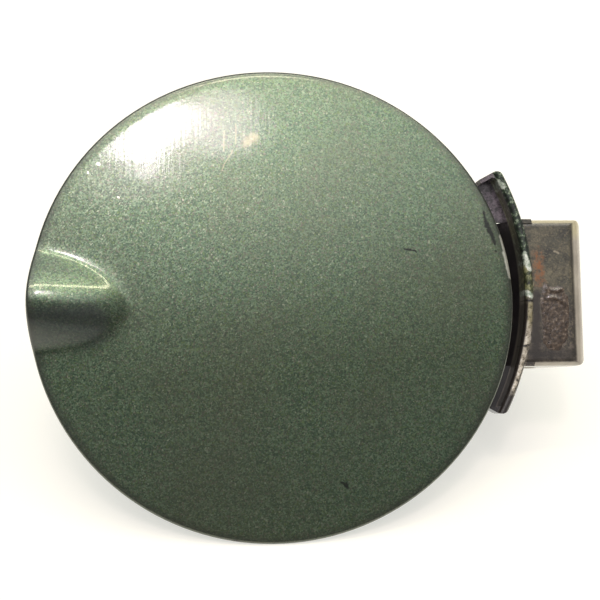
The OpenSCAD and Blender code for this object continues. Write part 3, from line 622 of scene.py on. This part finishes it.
def black_rubber():
    """Moulded EPDM rubber: nearly matt, greyed by dust in specks about 3 mm across."""
    material, tree, shader, where = finish("black_rubber", Roughness=0.75)
    dust = add(tree, "TexNoise", {"Vector": where, "Scale": 1 / 3, "Detail": 8.0, "Roughness": 0.7})
    body = add(tree, "ValToRGB", (dust,), stops=[(0.4, "#131313"), (0.7, "#3a3835")])
    bump = add(tree, "Bump", {"Strength": 0.2, "Distance": 0.0002, "Height": dust})
    join(tree, shader, Base_Color=body, Normal=bump)
    return material


def zinc_plate(name, warm):
    """Zinc-plated pressed steel: pale grey with a faint spangle about 2.2 mm across, and dull patches where
    it has weathered."""
    material, tree, shader, where = finish(name, Metallic=0.9)
    cloud = add(tree, "TexNoise", {"Vector": where, "Scale": 1 / 6, "Detail": 8.0, "Roughness": 0.65})
    spangle = add(tree, "TexVoronoi", {"Vector": where, "Scale": 1 / 2.2}, out="Color")
    tone = add(tree, "SeparateColor", (spangle,), out="Red")
    body = add(tree, "ValToRGB", (cloud,), stops=[(0.3, "#6d6a60"), (0.55, "#8f8c82"), (0.8, "#aeaba0")])
    body = coats(tree, body, (warm, add(tree, "MapRange", (tone, 0.0, 1.0, 0.0, 0.22))))
    rough = add(tree, "MapRange", (cloud, 0.3, 0.75, 0.34, 0.6))
    bump = add(tree, "Bump", {"Strength": 0.1, "Distance": 0.0002, "Height": cloud})
    join(tree, shader, Base_Color=body, Roughness=rough, Normal=bump)
    return material


def drawn_steel(name, dark, light, roughness):
    """Drawn steel wire or turned steel: lines 0.25 mm apart along the draw and a thin oily film."""
    material, tree, shader, where = finish(name, Metallic=1.0)
    stretched = add(tree, "VectorMath", (where, (4.0, 4.0, 0.5)), operation="MULTIPLY")
    lines = add(tree, "TexNoise", {"Vector": stretched, "Scale": 1.0, "Detail": 4.0})
    body = add(tree, "ValToRGB", (lines,), stops=[(0.3, dark), (0.7, light)])
    rough = add(tree, "MapRange", (lines, 0.3, 0.7, roughness - 0.06, roughness + 0.12))
    bump = add(tree, "Bump", {"Strength": 0.08, "Distance": 0.0001, "Height": lines})
    join(tree, shader, Base_Color=body, Roughness=rough, Normal=bump)
    return material


def dress(thing, material):
    """Gives a piece its one material."""
    thing.data.materials.clear()
    thing.data.materials.append(material)


# The object

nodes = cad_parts
skin = door_skin()
panel = smooth_copy("inner_panel", "door_inner_panel", "door", 30)
bead = smooth_copy("hem_sealer", "door_hem_sealer", "door", 60)
spring = closing_spring()
film = wax_patch()

nylon = moulded_plastic("black_nylon", "#151516", "#262627", 0.5)
dress(skin, green_metallic_lacquer())
dress(panel, inner_side_paint())
dress(bead, seam_sealer())
dress(spring, drawn_steel("oiled_spring_steel", "#4b4b4e", "#7f7f83", 0.34))
dress(film, dried_wax())
dress(nodes["hinge_arm"], arm_overspray())
dress(nodes["cap_holder"], nylon)
dress(nodes["spring_sleeve"], nylon)
dress(nodes["striker_eye"], zinc_plate("passivated_zinc", "#a79a63"))
dress(nodes["hinge_bracket"], zinc_plate("dull_zinc", "#7d7c72"))
dress(nodes["hinge_pin"], drawn_steel("turned_steel", "#8d8e90", "#b9babc", 0.3))

acetal = moulded_plastic("natural_acetal", "#c9c5b4", "#dedbcc", 0.4)
rubber = black_rubber()
rivet_steel = drawn_steel("headed_steel", "#77767a", "#a2a1a3", 0.38)
clip_steel = drawn_steel("phosphated_steel", "#1d1d1f", "#38383b", 0.5)
for side in ("upper", "lower"):
    dress(nodes["bush_" + side], acetal)
    dress(nodes["buffer_" + side], rubber)
    dress(nodes["striker_rivet_" + side], rivet_steel)
    dress(nodes["pin_clip_" + side], clip_steel)
foam = pad_foam()
for place in ("upper", "lower", "left"):
    dress(nodes["flutter_pad_" + place], foam)


# Floor, light and camera

def floor():
    """Pale table that the door leans on, with its rim and its bracket down. It is seen from above only."""
    rim, bracket = np.array(RIM_DOWN), np.array(BRACKET_DOWN)
    along = (bracket - rim) / np.linalg.norm(bracket - rim)
    corners = [rim + along * d for d in (-TABLE_FRONT, TABLE_BACK)]
    left, right = -TABLE_HALF, TABLE_HALF
    points = [(x, *corners[i]) for x, i in ((left, 0), (right, 0), (right, 1), (left, 1))]
    mesh = bpy.data.meshes.new("floor")
    mesh.from_pydata(points, [], [(0, 1, 2, 3)])
    made = put("floor", mesh)
    material = bpy.data.materials.new("pale_floor")
    material.use_nodes = True
    tree = material.node_tree
    tree.nodes.clear()
    seen = add(tree, "LightPath", out="Is Camera Ray")
    for ray in ("Is Glossy Ray", "Is Transmission Ray"):
        seen = add(tree, "Math", (seen, add(tree, "LightPath", out=ray)), operation="MAXIMUM")
    lit = add(tree, "BsdfDiffuse", {"Color": linear("#efede6")})
    pale = add(tree, "BsdfDiffuse", {"Color": linear("#c3c0b3")})
    glow = add(tree, "Emission", {"Color": linear("#fffffb"), "Strength": 0.57})
    shown = add(tree, "AddShader", (pale, glow))
    # painted shadow: the table darkens from 0.1 to 0.3 m before the rim, which only the grip's underside
    # mirrors
    from_rim = add(tree, "VectorMath", (add(tree, "TexCoord", out="Object"), (0, *RIM_DOWN)),
                   operation="SUBTRACT")
    behind = add(tree, "VectorMath", (from_rim, (0, float(along[0]), float(along[1]))), out="Value",
                 operation="DOT_PRODUCT")
    front_shade = add(tree, "MapRange", (behind, -0.1, -0.3, 0.0, 0.6))
    dull = add(tree, "BsdfDiffuse", {"Color": linear("#5a5850")})
    shown = add(tree, "MixShader", (front_shade, shown, dull))
    upper_side = add(tree, "MixShader", (seen, lit, shown))
    # it is clear from below and casts no shadow of its own
    gone = add(tree, "Math", (add(tree, "NewGeometry", out="Backfacing"),
                              add(tree, "LightPath", out="Is Shadow Ray")), operation="MAXIMUM")
    add(tree, "OutputMaterial", (add(tree, "MixShader", (gone, upper_side, add(tree, "BsdfTransparent"))),))
    dress(made, material)
    return made


def studio():
    """White ceiling over the table and darker walls, as in a room lit from above, and a white backdrop."""
    world = bpy.data.worlds.new("studio")
    bpy.context.scene.world = world
    world.use_nodes = True
    tree = world.node_tree
    tree.nodes.clear()
    # the ceiling lies square to the table, and the brightness runs from the floor up to it
    ceiling = (-0.05, -0.713, 0.699)
    height = add(tree, "VectorMath", (add(tree, "TexCoord", out="Generated"), ceiling), out="Value",
                 operation="DOT_PRODUCT")
    level = add(tree, "ValToRGB", (add(tree, "MapRange", (height, -1.0, 1.0, 0.0, 1.0)),),
                stops=[(0.0, 0.22), (0.45, 0.18), (0.51, 0.03), (0.70, 0.12), (0.77, 0.14), (0.82, 0.11),
                       (0.88, 0.23), (0.94, 0.64), (1.0, 0.95)])
    room = add(tree, "Background", (level, 2.4))
    backdrop = add(tree, "Background", ((1, 1, 1, 1), 1.0))
    seen = add(tree, "LightPath", out="Is Camera Ray")
    add(tree, "OutputWorld", (add(tree, "MixShader", (seen, room, backdrop)),))


def lamp(name, at, toward, size, glow, turn, shape, colour):
    """A soft lamp of the size (m) and brightness given; its power follows from both."""
    light = bpy.data.lights.new(name, "AREA")
    light.shape = shape
    light.size, light.size_y = size
    area = size[0] * size[1] * (math.pi / 4 if shape == "ELLIPSE" else 1)
    light.energy = glow * area * math.pi
    light.color = linear(colour)[:3]
    made = put(name, light)
    made.rotation_mode = "QUATERNION"
    aim = (Vector(toward) - Vector(at)).to_track_quat("-Z", "Y")
    made.rotation_quaternion = aim @ Matrix.Rotation(math.radians(turn), 4, "Z").to_quaternion()
    made.location = at
    return made


# Each lamp's name, place, the point that it faces, size, brightness, turn in degrees, shape and colour.
# One window gives the highlight at the upper left, in four parts that fade into each other. The strip
# gives the yellow line in the grip, and the last lamp lights the back.
LAMPS = (
    ("window", (-0.360, -2.914, 1.667), (-0.111, -0.046, 0.056),
     (0.568, 0.298), 22.0, 59, "ELLIPSE", "#ffeef8"),
    ("window_corner", (-0.386, -3.023, 1.446), (-0.113, -0.047, 0.045),
     (0.338, 0.106), 20.0, 91, "ELLIPSE", "#ffeef8"),
    ("side_window", (-0.042, -2.887, 1.736), (-0.087, -0.046, 0.059),
     (0.589, 0.325), 7.5, 89, "ELLIPSE", "#ffdff2"),
    ("window_haze", (-0.373, -2.989, 1.522), (-0.112, -0.046, 0.049),
     (0.940, 0.578), 2.2, 66, "ELLIPSE", "#ffdff2"),
    ("ceiling_strip", (0.017, -0.742, 0.843), (-0.13, -0.05, 0.0),
     (1.3, 0.05), 16.0, 0, "RECTANGLE", "#fff4d2"),
    ("behind", (0.7, 1.3, 0.8), (-0.07, -0.048, -0.004),
     (1.2, 1.2), 1.2, 0, "RECTANGLE", "#ffffff"),
)


def photo_camera():
    """Camera at the photograph's angle, found by fitting the rim, the lip and the tab."""
    across, up, roll = math.radians(5.5), math.radians(-5.2), math.radians(-0.91)
    distance = 0.412
    photo_width, focal_length = 600, 1212  # pixels
    ahead = Vector((math.sin(across) * math.cos(up), math.cos(across) * math.cos(up), -math.sin(up)))
    right = Vector((math.cos(across), -math.sin(across), 0))
    top = right.cross(ahead)
    c, s = math.cos(roll), math.sin(roll)
    right, top = (right * c + top * s, top * c - right * s)
    data = bpy.data.cameras.new("camera")
    data.sensor_width = 36
    data.lens = data.sensor_width * focal_length / photo_width
    data.clip_start, data.clip_end = 0.01, 20
    made = put("camera", data)
    target = Vector(to_row((8.43, 0, 0.70)))
    turn = Matrix((right, top, -ahead)).transposed()
    made.matrix_world = Matrix.Translation(target - ahead * distance) @ turn.to_4x4()
    bpy.context.scene.camera = made


floor()
studio()
for row in LAMPS:
    lamp(*row)
photo_camera()
bpy.context.scene.view_settings.view_transform = "Standard"
